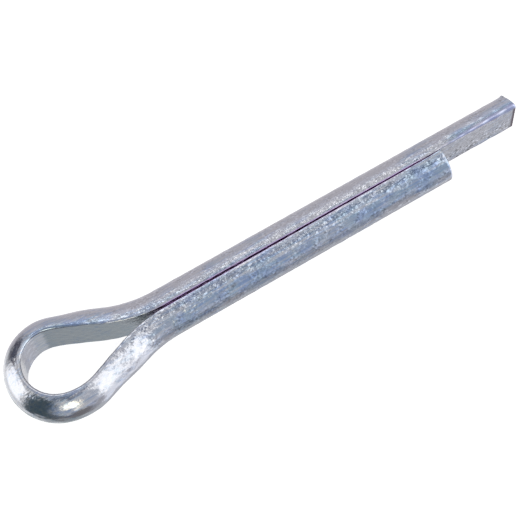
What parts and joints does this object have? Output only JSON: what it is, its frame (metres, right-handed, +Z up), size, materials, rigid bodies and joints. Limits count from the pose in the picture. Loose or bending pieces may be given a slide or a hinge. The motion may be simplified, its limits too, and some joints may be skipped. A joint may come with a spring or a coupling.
{
  "type": "cotter pin",
  "caption": "Split pin of half-round plated steel wire, folded into a teardrop eye with parallel legs of unequal length; locks a nut or clevis pin through its cross hole.",
  "frame": {"origin": "on the shank's axis, where the straight part of the long leg starts at the neck", "axes": "+X along the shank towards the leg tips, +Y towards the long leg, +Z up, square to the flat of the eye"},
  "size_m": [0.0438, 0.0083, 0.0036],
  "materials": {
    "zinc_plated_steel": "bright zinc plate with a pale blue cast, smooth on the eye and finely dimpled along the legs"
  },
  "bodies": {
    "root": {"cotter_pin": "zinc_plated_steel"}
  },
  "joints": []
}
